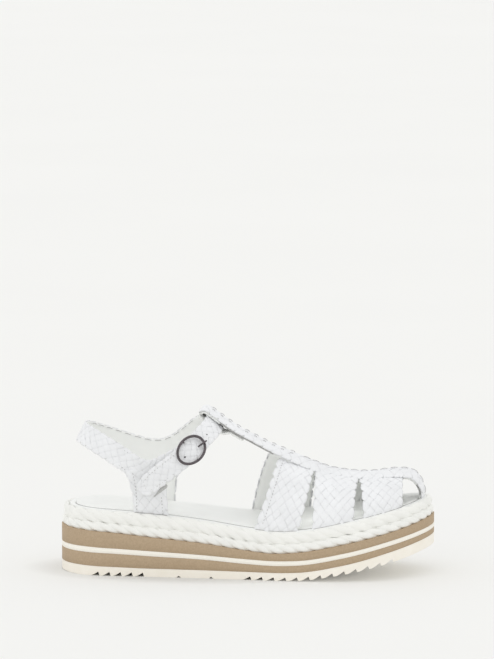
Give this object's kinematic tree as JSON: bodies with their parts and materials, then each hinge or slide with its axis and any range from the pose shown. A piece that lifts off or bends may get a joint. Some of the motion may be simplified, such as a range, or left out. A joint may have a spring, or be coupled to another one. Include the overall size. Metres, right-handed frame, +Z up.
{
  "type": "platform sandal",
  "caption": "Right-foot fisherman-style platform sandal: woven strap upper with a T-bar and buckled ankle strap on a layered wedge edged with rope.",
  "frame": {"origin": "on the floor under the middle of the sole", "axes": "+X from heel to toe, +Y to the inner (medial) side of a right foot, +Z up"},
  "size_m": [0.2586, 0.091, 0.1156],
  "materials": {
    "cream_rubber": "matt moulded rubber",
    "tan_foam": "matt foam",
    "cream_foam": "matt foam",
    "white_rope": "twisted cotton cord",
    "white_lining": "smooth padded lining",
    "white_leather": "soft satin leather, woven",
    "dark_metal": "polished gunmetal"
  },
  "bodies": {
    "root": {"outsole": "cream_rubber", "midsole_lower": "tan_foam", "midsole_stripe": "cream_foam", "midsole_upper": "tan_foam", "rope_lower": "white_rope", "rope_upper": "white_rope", "insole": "white_lining", "vamp": "white_leather", "quarter": "white_leather", "buckle_frame": "dark_metal", "buckle_prong": "dark_metal"}
  },
  "joints": []
}
